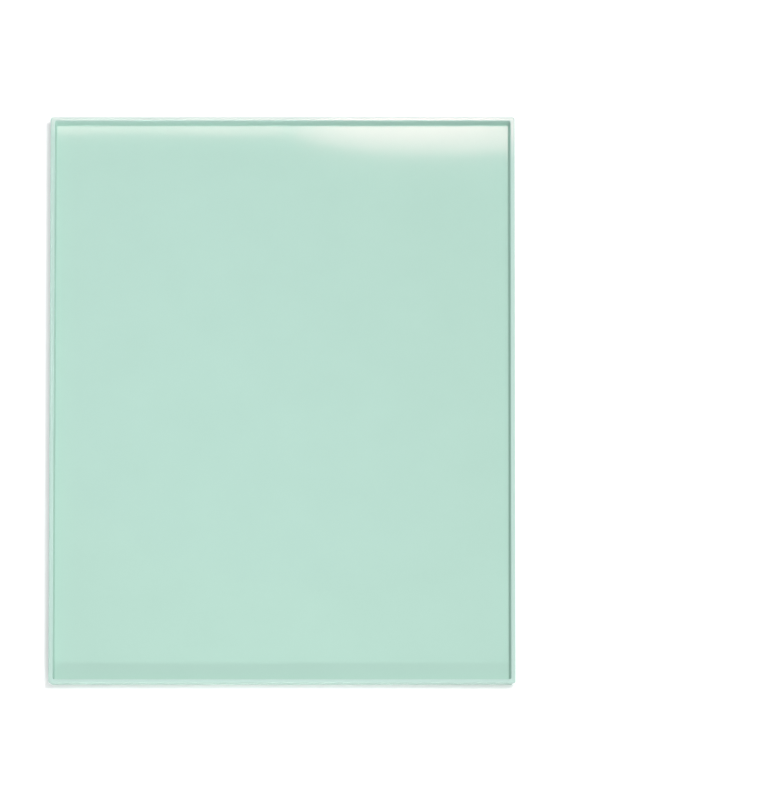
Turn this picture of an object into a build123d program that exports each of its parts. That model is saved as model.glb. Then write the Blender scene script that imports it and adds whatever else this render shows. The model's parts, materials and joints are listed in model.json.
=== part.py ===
from build123d import *
import math
import os

# Silicone baking mat: one moulding with a raised rim all round, flat on the table.
# The origin is the middle of the underside, X runs across, Y along, Z up, in millimetres.
# The mat bends and rolls along its length, so the moulding is written as strips across it.
# The strips touch face to face, and each next one turns about the line where the rim tops meet.

# Outline of the whole mat
mat_width = 270.0
mat_length = 360.0
corner_radius = 1.2

# Section of the moulding: the rim is as wide at its foot as at its top, and leans outwards
floor_thickness = 1.8
rim_height = 4.0
rim_width = 2.4
rim_flare = 15.0

# Small rounds left by the mould
rim_edge_round = 0.4
base_edge_round = 0.3
floor_round = 0.6
well_corner_radius = 1.6

# Flexing strips
strips_each_way = 15
cut_overrun = 5.0

overall_height = floor_thickness + rim_height
flare = math.radians(rim_flare)
flare_slope = math.tan(flare)
base_inset = overall_height * flare_slope
well_inset = rim_height * flare_slope
well_width = mat_width - 2 * rim_width
well_length = mat_length - 2 * rim_width
strip_count = 2 * strips_each_way + 1
strip_pitch = mat_length / strip_count

# The leaning side makes the rim's outer edge sharp, so its round eats into the width and length.
# The outline is drawn that much larger, and the rounded mat has its full size.
round_loss = rim_edge_round * ((1 + math.sin(flare)) / math.cos(flare) - 1)
top_width = mat_width + 2 * round_loss
top_length = mat_length + 2 * round_loss

os.makedirs("parts", exist_ok=True)

# The whole moulding: a slab whose sides lean out to the rim's top, with a shallow well in it
with BuildPart() as moulding:
    with BuildSketch() as base_outline:
        RectangleRounded(top_width - 2 * base_inset, top_length - 2 * base_inset, corner_radius)
    with BuildSketch(Plane.XY.offset(overall_height)) as top_outline:
        RectangleRounded(top_width, top_length, corner_radius)
    loft(ruled=True)
    with BuildSketch(Plane.XY.offset(floor_thickness)) as well_foot:
        RectangleRounded(well_width - 2 * well_inset, well_length - 2 * well_inset, well_corner_radius)
    with BuildSketch(Plane.XY.offset(overall_height)) as well_mouth:
        RectangleRounded(well_width, well_length, well_corner_radius)
    loft(ruled=True, mode=Mode.SUBTRACT)

    # The foot of the inner wall runs into the floor with a small radius
    well_floor = moulding.faces().filter_by(Axis.Z).sort_by(Axis.Z)[1]
    fillet(well_floor.edges(), radius=floor_round)

    # Both edges of the rim's top are softened, and the edge that the mat rests on less so
    rim_top = moulding.faces().filter_by(Axis.Z).sort_by(Axis.Z)[-1]
    fillet(rim_top.edges(), radius=rim_edge_round)
    underside = moulding.faces().filter_by(Axis.Z).sort_by(Axis.Z)[0]
    fillet(underside.edges(), radius=base_edge_round)


def write_strip(name, place):
    """One strip across the mat, place pitches behind its middle, cut from the moulding."""
    middle = Location((0, place * strip_pitch, overall_height / 2))
    with BuildPart() as strip:
        add(moulding.part)
        with Locations(middle):
            Box(
                mat_width + cut_overrun,
                strip_pitch,
                overall_height + cut_overrun,
                mode=Mode.INTERSECT,
            )
    strip.part.label = name
    export_step(strip.part, f"parts/{name}.step")
    print(name, "volume", round(strip.part.volume), "mm3")


write_strip("centre_strip", 0)
for place in range(1, strips_each_way):
    write_strip(f"front_strip_{place}", -place)
    write_strip(f"back_strip_{place}", place)
write_strip("front_rim_strip", -strips_each_way)
write_strip("back_rim_strip", strips_each_way)

print("strip pitch", round(strip_pitch, 3), "overall height", overall_height)
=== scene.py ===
# %% [markdown]
# A silicone baking mat is one moulding in soft mint silicone: a thin floor with a low rim all round
# that leans outwards. It lies flat on the table and rolls up along its length. The imported frame holds
# the moulding as strips joined by hinges, because MuJoCo moves rigid bodies. Dressed one by one, the
# strips would show as facets when the mat rolls. So the skin of the whole moulding is made once here,
# and then parted into pieces that each lie over one hinge, subdivided so that they can bend smoothly.

# %% Load the frame and measure it
import json
import math

import bmesh
import bpy
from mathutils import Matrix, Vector, noise

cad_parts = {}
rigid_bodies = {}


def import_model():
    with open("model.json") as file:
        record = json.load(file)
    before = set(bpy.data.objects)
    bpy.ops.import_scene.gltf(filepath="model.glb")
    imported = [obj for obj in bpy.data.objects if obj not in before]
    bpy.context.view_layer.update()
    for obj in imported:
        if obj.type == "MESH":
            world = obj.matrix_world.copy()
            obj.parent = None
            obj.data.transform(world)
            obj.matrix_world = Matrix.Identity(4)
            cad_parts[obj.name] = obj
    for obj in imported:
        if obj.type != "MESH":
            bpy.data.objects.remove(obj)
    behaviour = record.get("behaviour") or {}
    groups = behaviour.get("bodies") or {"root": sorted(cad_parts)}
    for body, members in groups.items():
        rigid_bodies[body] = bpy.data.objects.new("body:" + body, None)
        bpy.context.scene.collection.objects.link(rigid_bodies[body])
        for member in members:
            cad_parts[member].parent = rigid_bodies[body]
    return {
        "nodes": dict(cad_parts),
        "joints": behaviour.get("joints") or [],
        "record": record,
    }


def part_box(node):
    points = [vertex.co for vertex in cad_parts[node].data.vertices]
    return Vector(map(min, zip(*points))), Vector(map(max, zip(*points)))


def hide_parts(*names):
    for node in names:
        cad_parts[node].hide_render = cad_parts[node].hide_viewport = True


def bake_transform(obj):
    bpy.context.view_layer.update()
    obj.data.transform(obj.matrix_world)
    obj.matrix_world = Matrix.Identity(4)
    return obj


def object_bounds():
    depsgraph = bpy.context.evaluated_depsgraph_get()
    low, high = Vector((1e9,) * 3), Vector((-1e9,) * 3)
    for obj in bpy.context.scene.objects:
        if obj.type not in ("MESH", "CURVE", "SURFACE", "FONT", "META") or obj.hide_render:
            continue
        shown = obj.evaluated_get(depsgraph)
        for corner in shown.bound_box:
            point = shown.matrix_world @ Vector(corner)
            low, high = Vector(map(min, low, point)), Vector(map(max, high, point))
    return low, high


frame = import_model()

MM = 0.001
cad_low, cad_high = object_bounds()
mat_width = cad_high.x - cad_low.x
mat_length = cad_high.y - cad_low.y
mat_height = cad_high.z - cad_low.z
print("frame box in mm", [round(side / MM, 2) for side in (mat_width, mat_length, mat_height)])

# %% [markdown]
# The section is the frame's own: a floor, and a rim as wide at its foot as at its top whose two sides
# lean out, so that the mat lets go of its mould. A cutter has made the mould, so no edge is sharp.
# On the leaning outer side the rim's edge is an acute one, and its round would make the mat narrower.
# The sharp outline is therefore drawn larger by what the round takes away.

# %% Sizes of the section
floor_thickness = 1.8 * MM
rim_height = mat_height - floor_thickness
rim_width = 2.4 * MM
rim_flare = math.radians(15)
corner_radius = 1.2 * MM
rim_edge_round = 0.4 * MM
base_edge_round = 0.3 * MM
foot_round = 0.6 * MM

round_loss = rim_edge_round * ((1 + math.sin(rim_flare)) / math.cos(rim_flare) - 1)
base_inset = mat_height * math.tan(rim_flare) - round_loss
foot_inset = rim_width + rim_height * math.tan(rim_flare)
print("inset of the base", round(base_inset / MM, 2), "and of the well's foot", round(foot_inset / MM, 2))

# %% [markdown]
# Three small helpers serve every node tree. The first fills a node's inputs, each of which is either
# linked to another node or given a value. The second adds a node with its settings and its inputs.
# The third turns a colour picked on a screen, as sRGB hex, into the linear colour of a shader.


# %% Helpers for node trees
def feed(tree, node, inputs):
    """Links or sets inputs of a node, by name or number."""
    for key, value in inputs.items():
        if isinstance(value, bpy.types.NodeSocket):
            tree.links.new(value, node.inputs[key])
        else:
            node.inputs[key].default_value = value


def add_node(tree, kind, settings=None, inputs=None):
    """Adds a node with its settings and inputs."""
    node = tree.nodes.new(kind)
    for name, value in (settings or {}).items():
        setattr(node, name, value)
    feed(tree, node, inputs or {})
    return node


def linear(hex_colour):
    """An sRGB hex colour as linear red, green, blue and alpha."""
    shares = [int(hex_colour[i : i + 2], 16) / 255 for i in (1, 3, 5)]
    return [s / 12.92 if s <= 0.04045 else ((s + 0.055) / 1.055) ** 2.4 for s in shares] + [1.0]


# %% [markdown]
# The mat is food grade silicone rubber, coloured all through and cured in a polished steel mould.
# That gives the eye an even pastel, hardly mottled, under a smooth satin skin that mirrors bright
# things softly. Silicone has an IOR of about 1.41. The mould's fine grain is about 0.4 mm on the real
# thing and is drawn at 1.1 mm, because one pixel of the picture covers 0.6 mm. The top of the rim is
# painted a touch paler, a painted sheen for the light it catches, and the skin carries a rim share
# that says where. The patterns read Object coordinates, in metres, so the scale of each is one over
# the size of its spots.

# %% Moulded silicone
# The third colour is a painted sheen: the paler tone that the rim's top shows where it catches light.
dark_mint, light_mint, rim_sheen_mint = "#aacfc0", "#aed3c4", "#c4dcd5"
rim_sheen_share = 0.5
mottle_size, mottle_detail = 35 * MM, 3.0
grain_size, grain_detail = 1.1 * MM, 2.0
grain_depth, grain_strength = 0.02 * MM, 0.2
skin_roughness = 0.12
silicone_ior = 1.41

# Of a Mix node's many sockets, these take and give colours
colour_a, colour_b, mixed = 6, 7, 2


def moulded_silicone():
    """Mint silicone out of a polished mould, hardly mottled, finely grained, with painted sheen on the
    rim.
    """
    material = bpy.data.materials.new("moulded_silicone_mint")
    material.use_nodes = True
    tree = material.node_tree
    tree.nodes.clear()
    place = add_node(tree, "ShaderNodeTexCoord").outputs["Object"]
    mottle = add_node(tree, "ShaderNodeTexNoise", None, {
        "Vector": place, "Scale": 1 / mottle_size, "Detail": mottle_detail,
    })
    mint = add_node(tree, "ShaderNodeMix", {"data_type": "RGBA"}, {
        0: mottle.outputs["Fac"], colour_a: linear(dark_mint), colour_b: linear(light_mint),
    })
    # Painted sheen: towards the rim's top the mint is mixed up to halfway into the paler sheen colour.
    rim_share = add_node(tree, "ShaderNodeAttribute", {"attribute_name": "rim_share"})
    painted_rim_sheen = add_node(tree, "ShaderNodeMath", {"operation": "MULTIPLY"}, {
        0: rim_share.outputs["Fac"], 1: rim_sheen_share,
    })
    colour = add_node(tree, "ShaderNodeMix", {"data_type": "RGBA"}, {
        0: painted_rim_sheen.outputs[0], colour_a: mint.outputs[mixed], colour_b: linear(rim_sheen_mint),
    })
    grain = add_node(tree, "ShaderNodeTexNoise", None, {
        "Vector": place, "Scale": 1 / grain_size, "Detail": grain_detail,
    })
    bump = add_node(tree, "ShaderNodeBump", None, {
        "Strength": grain_strength, "Distance": grain_depth, "Height": grain.outputs["Fac"],
    })
    surface = add_node(tree, "ShaderNodeBsdfPrincipled", None, {
        "Base Color": colour.outputs[mixed],
        "Roughness": skin_roughness,
        "IOR": silicone_ior,
        "Normal": bump.outputs["Normal"],
    })
    add_node(tree, "ShaderNodeOutputMaterial", None, {"Surface": surface.outputs["BSDF"]})
    return material


silicone = moulded_silicone()
print("material", silicone.name, "with", len(silicone.node_tree.nodes), "nodes")

# %% [markdown]
# The moulding's shape follows a rule, its section carried round its outline, so Geometry Nodes make it.
# A profile swept along a curve would round off or twist at the nearly square corners. Instead the
# filled outline is extruded once for each point of the section, and each time it is drawn in and
# lifted to that point, as a potter pulls up a wall. The mesh comes out closed, with the corners kept.
# First come the tree with its named inputs and the section itself, as a short curve.


# %% Tree with named inputs
SIZES = (
    "Width", "Length", "Height", "Floor", "Rim Width", "Base Inset", "Top Overhang", "Foot Inset",
    "Corner Round", "Base Round", "Rim Round", "Foot Round",
)
COUNTS = ("Round Points", "Corner Points")


def new_tree(name):
    """An empty tree, and its named inputs as sockets to link from."""
    tree = bpy.data.node_groups.new(name, "GeometryNodeTree")
    sockets = [("Geometry", "Geometry")]
    sockets += [(size, "Float") for size in SIZES]
    sockets += [(count, "Int") for count in COUNTS]
    sockets += [("Material", "Material")]
    for label, kind in sockets:
        tree.interface.new_socket(label, in_out="INPUT", socket_type="NodeSocket" + kind)
    tree.interface.new_socket("Geometry", in_out="OUTPUT", socket_type="NodeSocketGeometry")
    return tree, add_node(tree, "NodeGroupInput").outputs


# %% Section as a curve
def section_curve(tree, given):
    """The section from the underside to the well's floor, x the inset from the edge, y the height."""
    past_foot = add_node(tree, "ShaderNodeMath", {"operation": "ADD"}, {
        0: given["Foot Inset"], 1: given["Rim Width"],
    })
    overhang = add_node(tree, "ShaderNodeMath", {"operation": "MULTIPLY"}, {
        0: given["Top Overhang"], 1: -1.0,
    })
    corners = (
        (given["Rim Width"], 0.0, 0.0),
        (given["Base Inset"], 0.0, given["Base Round"]),
        (overhang.outputs[0], given["Height"], given["Rim Round"]),
        (given["Rim Width"], given["Height"], given["Rim Round"]),
        (given["Foot Inset"], given["Floor"], given["Foot Round"]),
        (past_foot.outputs[0], given["Floor"], 0.0),
    )
    places, rounds = [], []
    for inset, height, radius in corners:
        place = add_node(tree, "ShaderNodeCombineXYZ", None, {0: inset, 1: height})
        places.append(place.outputs[0])
        rounds.append(radius)
    index = add_node(tree, "GeometryNodeInputIndex").outputs[0]
    by_corner = []
    for data_type, values in (("VECTOR", places), ("FLOAT", rounds)):
        switch = add_node(tree, "GeometryNodeIndexSwitch", {"data_type": data_type}, {0: index})
        while len(switch.index_switch_items) < len(corners):
            switch.index_switch_items.new()
        feed(tree, switch, dict(enumerate(values, 1)))
        by_corner.append(switch.outputs[0])
    line = add_node(tree, "GeometryNodeMeshLine", None, {"Count": len(corners)})
    line = add_node(tree, "GeometryNodeSetPosition", None, {
        0: line.outputs[0], "Position": by_corner[0],
    })
    line = add_node(tree, "GeometryNodeMeshToCurve", None, {0: line.outputs[0]})
    return add_node(tree, "GeometryNodeFilletCurve", {"mode": "POLY"}, {
        0: line.outputs[0], "Count": given["Round Points"], "Radius": by_corner[1],
    }).outputs[0]


# %% [markdown]
# Next comes the outline, filled with one face. Each of its points remembers its place at full size in
# an attribute, so that every ring is scaled from the outline itself and no error adds up on the way.


# %% Outline as a face
def outline_face(tree, given):
    """The filled outline, and the field with each of its points' places at full size."""
    outline = add_node(tree, "GeometryNodeCurvePrimitiveQuadrilateral", None, {
        "Width": given["Width"], "Height": given["Length"],
    })
    outline = add_node(tree, "GeometryNodeFilletCurve", {"mode": "POLY"}, {
        0: outline.outputs[0], "Count": given["Corner Points"], "Radius": given["Corner Round"],
    })
    face = add_node(tree, "GeometryNodeFillCurve", {"mode": "NGONS"}, {0: outline.outputs[0]})
    position = add_node(tree, "GeometryNodeInputPosition").outputs[0]
    face = add_node(tree, "GeometryNodeStoreNamedAttribute", {"data_type": "FLOAT_VECTOR"}, {
        0: face.outputs[0], "Name": "full_size", "Value": position,
    })
    full_size = add_node(tree, "GeometryNodeInputNamedAttribute", {"data_type": "FLOAT_VECTOR"}, {
        "Name": "full_size",
    })
    return face.outputs[0], full_size.outputs[0]


def ring_place(tree, given, section, full_size, number):
    """Where the outline's points go on the ring of one section point."""
    section_place = add_node(tree, "GeometryNodeInputPosition").outputs[0]
    found = add_node(tree, "GeometryNodeSampleIndex", {"data_type": "FLOAT_VECTOR"}, {
        0: section, "Value": section_place, "Index": number,
    })
    inset = add_node(tree, "ShaderNodeSeparateXYZ", None, {0: found.outputs[0]})
    whole = add_node(tree, "ShaderNodeSeparateXYZ", None, {0: full_size})
    place = {2: inset.outputs[1]}
    for axis, size in ((0, given["Width"]), (1, given["Length"])):
        both_sides = add_node(tree, "ShaderNodeMath", {"operation": "MULTIPLY"}, {
            0: inset.outputs[0], 1: 2.0,
        })
        lost_share = add_node(tree, "ShaderNodeMath", {"operation": "DIVIDE"}, {
            0: both_sides.outputs[0], 1: size,
        })
        kept_share = add_node(tree, "ShaderNodeMath", {"operation": "SUBTRACT"}, {
            0: 1.0, 1: lost_share.outputs[0],
        })
        place[axis] = add_node(tree, "ShaderNodeMath", {"operation": "MULTIPLY"}, {
            0: whole.outputs[axis], 1: kept_share.outputs[0],
        }).outputs[0]
    return add_node(tree, "ShaderNodeCombineXYZ", None, place).outputs[0]


# %% [markdown]
# A repeat zone does the pulling up: each turn extrudes the top face by nothing, which leaves a band of
# new faces round it, and then puts the top on the next ring. The same face turned over closes the
# underside. At the end the tree stores the rim share, from 0 on the floor to 1 on the rim's top,
# and it ends in Realize Instances and Set Material, because the export drops instances.


# %% Walls pulled up round the outline
merge_distance = 0.001 * MM


def pulled_up(tree, given, section, face, full_size):
    """The closed skin, a ring of faces for each step along the section."""
    steps = add_node(tree, "GeometryNodeAttributeDomainSize", {"component": "CURVE"}, {0: section})
    bands = add_node(tree, "ShaderNodeMath", {"operation": "SUBTRACT"}, {0: steps.outputs[0], 1: 1.0})
    first = ring_place(tree, given, section, full_size, 0)
    start = add_node(tree, "GeometryNodeSetPosition", None, {0: face, "Position": first})
    loop_in = add_node(tree, "GeometryNodeRepeatInput")
    loop_out = add_node(tree, "GeometryNodeRepeatOutput")
    loop_in.pair_with_output(loop_out)
    loop_out.repeat_items.new("BOOLEAN", "Top")
    feed(tree, loop_in, {"Iterations": bands.outputs[0], "Geometry": start.outputs[0], "Top": True})
    raised = add_node(tree, "GeometryNodeExtrudeMesh", {"mode": "FACES"}, {
        "Mesh": loop_in.outputs["Geometry"], "Selection": loop_in.outputs["Top"],
        "Offset Scale": 0.0, "Individual": False,
    })
    number = add_node(tree, "ShaderNodeMath", {"operation": "ADD"}, {
        0: loop_in.outputs["Iteration"], 1: 1.0,
    })
    place = ring_place(tree, given, section, full_size, number.outputs[0])
    placed = add_node(tree, "GeometryNodeSetPosition", None, {
        0: raised.outputs["Mesh"], "Selection": raised.outputs["Top"], "Position": place,
    })
    feed(tree, loop_out, {"Geometry": placed.outputs[0], "Top": raised.outputs["Top"]})
    under = add_node(tree, "GeometryNodeFlipFaces", None, {0: start.outputs[0]})
    joined = add_node(tree, "GeometryNodeJoinGeometry")
    for part in (under.outputs[0], loop_out.outputs["Geometry"]):
        tree.links.new(part, joined.inputs[0])
    return add_node(tree, "GeometryNodeMergeByDistance", None, {
        0: joined.outputs[0], "Distance": merge_distance,
    }).outputs[0]


# %% Whole tree, and the mesh that it grows
round_points, corner_points = 5, 6


def moulding_tree():
    """The tree from its named inputs to the finished skin, marked with its rim share."""
    tree, given = new_tree("moulding_from_section")
    section = section_curve(tree, given)
    face, full_size = outline_face(tree, given)
    walls = pulled_up(tree, given, section, face, full_size)
    position = add_node(tree, "GeometryNodeInputPosition").outputs[0]
    height = add_node(tree, "ShaderNodeSeparateXYZ", None, {0: position})
    share = add_node(tree, "ShaderNodeMapRange", None, {
        "Value": height.outputs[2], "From Min": given["Floor"], "From Max": given["Height"],
    })
    marked = add_node(tree, "GeometryNodeStoreNamedAttribute", {"data_type": "FLOAT"}, {
        0: walls, "Name": "rim_share", "Value": share.outputs[0],
    })
    real = add_node(tree, "GeometryNodeRealizeInstances", None, {0: marked.outputs[0]})
    dressed = add_node(tree, "GeometryNodeSetMaterial", None, {
        0: real.outputs[0], "Material": given["Material"],
    })
    add_node(tree, "NodeGroupOutput", None, {0: dressed.outputs[0]})
    return tree


def grown(name, tree, values):
    """Runs a tree on an empty object and gives its result as a plain mesh."""
    holder = bpy.data.objects.new(name, bpy.data.meshes.new(name + "_seed"))
    bpy.context.scene.collection.objects.link(holder)
    modifier = holder.modifiers.new(name, "NODES")
    modifier.node_group = tree
    for item in tree.interface.items_tree:
        if item.item_type == "SOCKET" and item.in_out == "INPUT" and item.name in values:
            modifier[item.identifier] = values[item.name]
    bpy.context.view_layer.update()
    seen = holder.evaluated_get(bpy.context.evaluated_depsgraph_get())
    mesh = bpy.data.meshes.new_from_object(seen)
    bpy.data.objects.remove(holder)
    return mesh


moulding = grown("moulding", moulding_tree(), {
    "Width": mat_width, "Length": mat_length, "Height": mat_height, "Floor": floor_thickness,
    "Rim Width": rim_width, "Base Inset": base_inset, "Top Overhang": round_loss,
    "Foot Inset": foot_inset, "Corner Round": corner_radius, "Base Round": base_edge_round,
    "Rim Round": rim_edge_round, "Foot Round": foot_round,
    "Round Points": round_points, "Corner Points": corner_points, "Material": silicone,
})
print("moulding", len(moulding.vertices), "vertices", len(moulding.polygons), "faces")
farthest = [max(vertex.co[axis] for vertex in moulding.vertices) for axis in range(3)]
print("its farthest corner in mm", [round(reach / MM, 3) for reach in farthest])

# %% [markdown]
# A mat that is to bend needs rows of edges across it, and a floor this large needs a few columns so
# that it can be a little uneven, as a soft sheet lying on a table is. Both are cut into the skin with
# planes. Two rows for each strip are enough, one in its middle and one over the hinge. In the bent
# mat the row over the hinge is a corner, and a subdivision surface can round it. Many close rows
# would only trace the corner, and the rolled mat would show it as a facet.

# %% Rows and columns cut into the skin
middles = sorted((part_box(node)[0].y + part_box(node)[1].y) / 2 for node in frame["nodes"])
pitch = middles[1] - middles[0]
row_shares = (0, 0.5)
column_width = 7 * MM
weld_distance = 0.0001 * MM


def cut(skin, place, direction, clear=False):
    """Cuts a skin with a plane. With clear, what lies past the plane goes and the cut is closed."""
    found = bmesh.ops.bisect_plane(
        skin, geom=skin.verts[:] + skin.edges[:] + skin.faces[:], dist=weld_distance,
        plane_co=place, plane_no=direction, clear_outer=clear,
    )
    if clear:
        border = [part for part in found["geom_cut"] if isinstance(part, bmesh.types.BMEdge)]
        for edge in border:
            edge.smooth = False
        ends = bmesh.ops.edgenet_fill(skin, edges=border)["faces"]
        for face in ends:
            face.normal_update()
            if face.normal.dot(Vector(direction)) < 0:
                face.normal_flip()
        bmesh.ops.triangulate(skin, faces=ends)


gridded = bmesh.new()
gridded.from_mesh(moulding)
columns = round(mat_width / column_width)
for number in range(1, columns):
    cut(gridded, (cad_low.x + number * mat_width / columns, 0, 0), (1, 0, 0))
rows = [middle + share * pitch for middle in middles for share in row_shares]
for row in rows:
    if abs(row) < mat_length / 2 - base_inset:
        cut(gridded, (0, row, 0), (0, 1, 0))
print(len(rows), "rows and", columns - 1, "columns cut,", len(gridded.faces), "faces")

# %% Floor a little uneven
sheet_waves = 0.15 * MM
wave_length = 90 * MM
calm_width = 6 * MM
flat_tolerance = 0.001 * MM


def smooth(low, high, value):
    """Rises smoothly from 0 at low to 1 at high."""
    share = min(1.0, max(0.0, (value - low) / (high - low)))
    return share * share * (3 - 2 * share)


def floor_lift(x, y):
    """How far the well's floor stands off its true level, which it keeps along the walls' foot."""
    wave = noise.noise(Vector((x, y, 0)) / wave_length)
    from_wall = min(mat_width / 2 - foot_inset - abs(x), mat_length / 2 - foot_inset - abs(y))
    return sheet_waves * wave * smooth(0, calm_width, from_wall)


for corner in gridded.verts:
    if abs(corner.co.z - floor_thickness) < flat_tolerance:
        corner.co.z += floor_lift(corner.co.x, corner.co.y)
levels = [v.co.z for v in gridded.verts if abs(v.co.z - floor_thickness) <= sheet_waves]
print("floor between", round(min(levels) / MM, 3), "and", round(max(levels) / MM, 3), "mm")
gridded.normal_update()
gridded.to_mesh(moulding)
gridded.free()

# %% [markdown]
# A piece that crosses one hinge can be blended over it: its points follow the one strip up to that
# strip's middle, the other strip from its middle on, and turn smoothly in between. So the skin is
# parted in the middle of each strip, never over a hinge. Every piece is closed where it is cut, and
# there it meets its neighbour point for point, at rest and at every bend. The closing face is made of
# triangles, because a face as winding as the whole section would reach out of it when subdivided.
#
# The subdivision surface stays on each piece as a modifier, so it rounds the bend after the pose has
# made it. All edges are creased but those of the row over the hinge. So the section keeps its form,
# and every piece ends in the plane of its strip, which its neighbour shares, without a kink.


# %% Subdivision that rounds the bend
bend_levels = 2


def round_bend(piece, hinge_row):
    """Subdivides a piece smoothly over its hinge, and leaves all its other edges as they are."""
    skin = piece.data
    crease = skin.attributes.new("crease_edge", "FLOAT", "EDGE")
    for edge in skin.edges:
        off_row = max(abs(skin.vertices[number].co.y - hinge_row) for number in edge.vertices)
        crease.data[edge.index].value = 0.0 if off_row < flat_tolerance else 1.0
    rounded = piece.modifiers.new("rounded_bend", "SUBSURF")
    rounded.levels = rounded.render_levels = bend_levels


# %% Part the skin into pieces, one over each hinge
def middle_of(body):
    """How far along the mat the middle of a strip lies."""
    low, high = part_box(frame["record"]["behaviour"]["bodies"][body][0])
    return (low.y + high.y) / 2


def part_over(joint):
    """The piece of skin from one strip's middle to the next one's, or to the end of the mat."""
    here, there = middle_of(joint["parent"]), middle_of(joint["child"])
    outward = 1 if there > here else -1
    skin = bmesh.new()
    skin.from_mesh(moulding)
    cut(skin, (0, here, 0), (0, -outward, 0), clear=True)
    if abs(there) + pitch < mat_length / 2:
        cut(skin, (0, there, 0), (0, outward, 0), clear=True)
    mesh = bpy.data.meshes.new("mat_" + joint["name"])
    skin.to_mesh(mesh)
    skin.free()
    mesh.materials.clear()
    mesh.materials.append(silicone)
    for polygon in mesh.polygons:
        polygon.use_smooth = True
        polygon.material_index = 0
    piece = bpy.data.objects.new("mat_" + joint["name"], mesh)
    bpy.context.scene.collection.objects.link(piece)
    round_bend(piece, (here + there) / 2)
    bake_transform(piece)
    stands_for = list(frame["record"]["behaviour"]["bodies"][joint["child"]])
    if joint["parent"] == "centre_strip":
        stands_for += frame["record"]["behaviour"]["bodies"]["centre_strip"]
    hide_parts(*stands_for)
    return piece


pieces = [part_over(joint) for joint in frame["joints"]]
print(len(pieces), "pieces,", sum(len(piece.data.polygons) for piece in pieces), "faces")

# %% [markdown]
# The table is a white acrylic sheet lit a little from below, as product photographers use to keep the
# ground pure white and the shadows pale. Frosted acrylic hardly mirrors, so it is rough and has little
# specular. It lies a hair under the mat, so that the two faces don't flicker in one plane. It is a
# stage, not part of the mat.

# %% Table
table_half = 4.0
table_drop = 0.1 * MM
acrylic_white, acrylic_roughness, acrylic_specular = "#f8f8f8", 0.9, 0.2
glow_white, glow_strength = "#ffffff", 0.16

table_mesh = bpy.data.meshes.new("table_top")
table_sides = [(-1, -1), (1, -1), (1, 1), (-1, 1)]
table_corners = [(x * table_half, y * table_half, -table_drop) for x, y in table_sides]
table_mesh.from_pydata(table_corners, [], [range(len(table_corners))])
table_top = bpy.data.objects.new("table_top", table_mesh)
bpy.context.scene.collection.objects.link(table_top)

acrylic = bpy.data.materials.new("white_acrylic_lit_from_below")
acrylic.use_nodes = True
feed(acrylic.node_tree, acrylic.node_tree.nodes["Principled BSDF"], {
    "Base Color": linear(acrylic_white),
    "Roughness": acrylic_roughness,
    "Specular IOR Level": acrylic_specular,
    "Emission Color": linear(glow_white),
    "Emission Strength": glow_strength,
})
table_mesh.materials.append(acrylic)
print("table", 2 * table_half, "m wide,", table_drop / MM, "mm under the mat")

# %% [markdown]
# The camera looks from the front, and its tilt is worked out instead of guessed. Seen from straight
# above, the top of the rim would be as many times longer than wide as the real mat is. The picture
# shows it shorter, and the cosine of the tilt says by how much. The sides show hardly any
# perspective, so the lens is very long and the camera far away. Even so the near half of the mat looks
# a little longer than the far half, and the mat sits a pixel low. The aim makes up for that.

# %% Camera
frame_width, frame_height = 757, 810
rim_left, rim_right = 49.5, 515.0
rim_back, rim_front = 117.2, 682.9
sensor_mm, lens_mm = 36, 1500
camera_reach = 100
pixels_per_m = (rim_right - rim_left) / mat_width
tilt = math.acos((rim_front - rim_back) / pixels_per_m / mat_length)
up = Vector((0, math.cos(tilt), math.sin(tilt)))
towards_camera = Vector((0, -math.sin(tilt), math.cos(tilt)))
right_of_middle = (frame_width / 2 - (rim_left + rim_right) / 2) / pixels_per_m
below_middle = (frame_height / 2 - (rim_back + rim_front) / 2) / pixels_per_m

camera_data = bpy.data.cameras.new("camera")
camera_data.sensor_width = sensor_mm
camera_data.lens = lens_mm
camera_data.clip_end = camera_reach
camera = bpy.data.objects.new("camera", camera_data)
distance = frame_height / pixels_per_m * lens_mm / sensor_mm
near_half_gain = (mat_length / 2) ** 2 * math.sin(tilt) * math.cos(tilt) / distance
aim = Vector((right_of_middle, 0, mat_height)) - up * (below_middle + near_half_gain)
camera.location = aim + towards_camera * distance
camera.rotation_euler = (-towards_camera).to_track_quat("-Z", "Y").to_euler()
bpy.context.scene.collection.objects.link(camera)
bpy.context.scene.camera = camera
bpy.context.scene.view_settings.view_transform = "Standard"
print("tilt off straight down", round(math.degrees(tilt), 2), "distance", round(distance, 2), "m")

# %% [markdown]
# Some of the light comes from all round, as in a light tent. Most of it comes from a large softbox
# straight overhead, which lights level faces fully and steep ones little, so that the inner sides of
# the rim stay darker than the floor. A key softbox high on the right casts the pale shadow on the
# left and leaves the inner side of the right rim in shade. A low softbox far in front grazes over the
# front rim, which keeps its light off a narrow band of the floor behind it. A grid narrows its beam.
# A light's strength is given as its radiance, how bright its face looks: Blender's watts are that
# times pi times its area.

# %% Light tent and softboxes
tent_colour, tent_strength = "#fdf9ff", 0.32
tent = bpy.data.worlds.new("light_tent")
tent.use_nodes = True
feed(tent.node_tree, tent.node_tree.nodes["Background"], {
    "Color": linear(tent_colour), "Strength": tent_strength,
})
bpy.context.scene.world = tent

# An ellipse covers this share of the rectangle round it
ellipse_share = math.pi / 4


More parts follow.
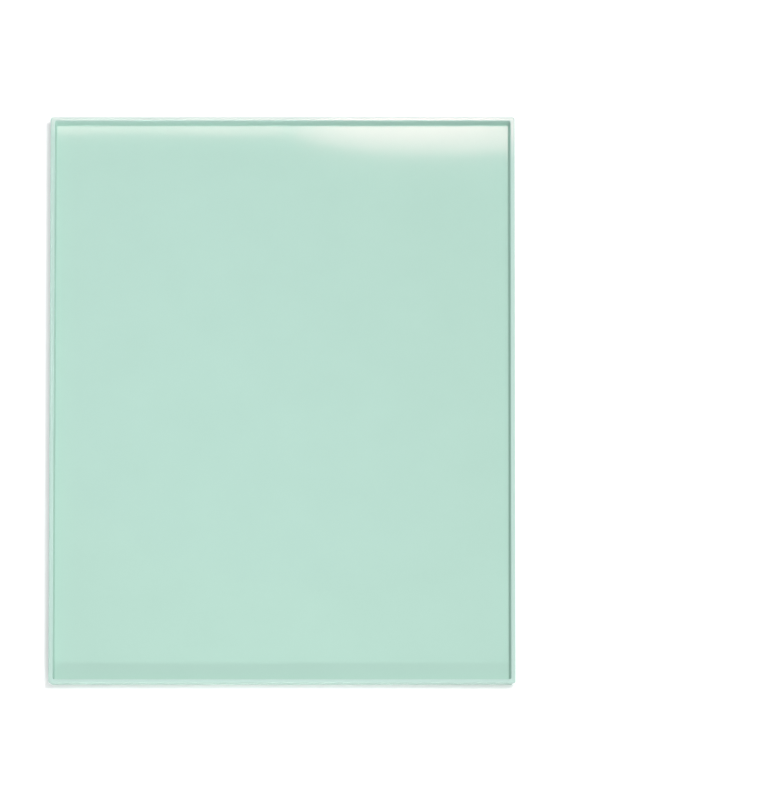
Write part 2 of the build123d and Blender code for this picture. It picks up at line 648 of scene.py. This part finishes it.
def softbox(name, shape, size, place, aim_at, radiance):
    """An area light that the camera doesn't see."""
    data = bpy.data.lights.new(name, "AREA")
    data.shape = shape
    data.size, data.size_y = size
    data.energy = radiance * math.pi * size[0] * size[1]
    if shape == "ELLIPSE":
        data.energy *= ellipse_share
    box = bpy.data.objects.new(name, data)
    box.location = place
    box.rotation_euler = (Vector(aim_at) - Vector(place)).to_track_quat("-Z", "Y").to_euler()
    box.visible_camera = False
    bpy.context.scene.collection.objects.link(box)
    print(name, "of radiance", round(radiance, 2), "at", [round(along, 3) for along in place])
    return box


def narrow(box, spread):
    """Puts a grid on a softbox, and takes back what a narrow beam gains along its axis."""
    half = spread / 2
    box.data.spread = spread
    box.data.energy *= 1 - half / math.tan(half)


mat_middle = (0, 0, 0)

# The key's share is the radiance that it gives to a white card at the mat's middle, turned to face it
key_distance, key_size, key_share = 4.0, 1.1, 0.41
key_right, key_back = math.radians(22), math.radians(10)
key_place = Vector((math.tan(key_right), math.tan(key_back), 1)).normalized() * key_distance
key_radiance = key_share * math.pi * key_distance**2 / key_size**2
softbox("key_softbox", "RECTANGLE", (key_size, key_size), key_place, mat_middle, key_radiance)

top_height, top_size, top_radiance = 2.0, 2.4, 1.18
top_place = (0, 0, top_height)
softbox("top_softbox", "RECTANGLE", (top_size, top_size), top_place, mat_middle, top_radiance)

low_distance, low_rise, low_right = 2.0, math.radians(18.3), 0.45
low_size, low_radiance, low_spread = (0.15, 0.17), 320, math.radians(16)
low_place = Vector((low_right, -mat_length / 2 - low_distance, low_distance * math.tan(low_rise)))
low_aim = (-70 * MM, 0, 0)
low_box = softbox("low_softbox", "RECTANGLE", low_size, low_place, low_aim, low_radiance)
narrow(low_box, low_spread)

# %% [markdown]
# The bright patch on the floor, the pale band behind it and the nearly white rim along the back are
# mirror images of small light cards that hang over the back edge. A level floor mirrors the camera's
# view up and backwards, as steeply as the camera looks down. Each card hangs on that mirrored line of
# sight and faces back along it, so it is placed from where its image has to be. The higher it hangs,
# the softer is its image's edge. Honeycomb grids keep the cards' light to that one direction, so that
# from anywhere else they don't show. Seen along its axis, a gridded light is brighter, as the grid's
# narrow beam holds all of its power. The cards light nothing but reflections, and are pale pink,
# because a white one would push the mint's green and blue past the brightest that a screen shows.

# %% Light cards for the reflections
card_colour = "#ffbdc9"
low_hang, high_hang = 0.1, 0.2
card_spread = math.radians(36)
mirrored_sight = Vector((0, math.sin(tilt), math.cos(tilt)))


def card(name, shape, across, along, hang, radiance):
    """A card whose mirror image lies between two places across the mat and two along it, in mm."""
    (left, right), (front, back) = across, along
    width, depth = (right - left) * MM, (back - front) * MM
    image = Vector(((left + right) / 2 * MM, (front + back) / 2 * MM, floor_thickness))
    place = image + mirrored_sight * hang
    box = softbox(name, shape, (width, depth * math.cos(tilt)), place, image, radiance)
    box.data.color = linear(card_colour)[:3]
    narrow(box, card_spread)
    box.visible_diffuse = False


card("foot_card", "RECTANGLE", across=(-137, 0), along=(171.8, 215), hang=low_hang, radiance=8.3)
card("rim_card", "RECTANGLE", across=(-60, 137), along=(177.5, 215), hang=low_hang, radiance=4.5)
card("corner_card", "ELLIPSE", across=(-1.2, 200), along=(160.3, 206.2), hang=high_hang, radiance=12.4)
card("upper_corner_card", "ELLIPSE", across=(19, 130), along=(169.2, 197.4), hang=low_hang, radiance=4.0)
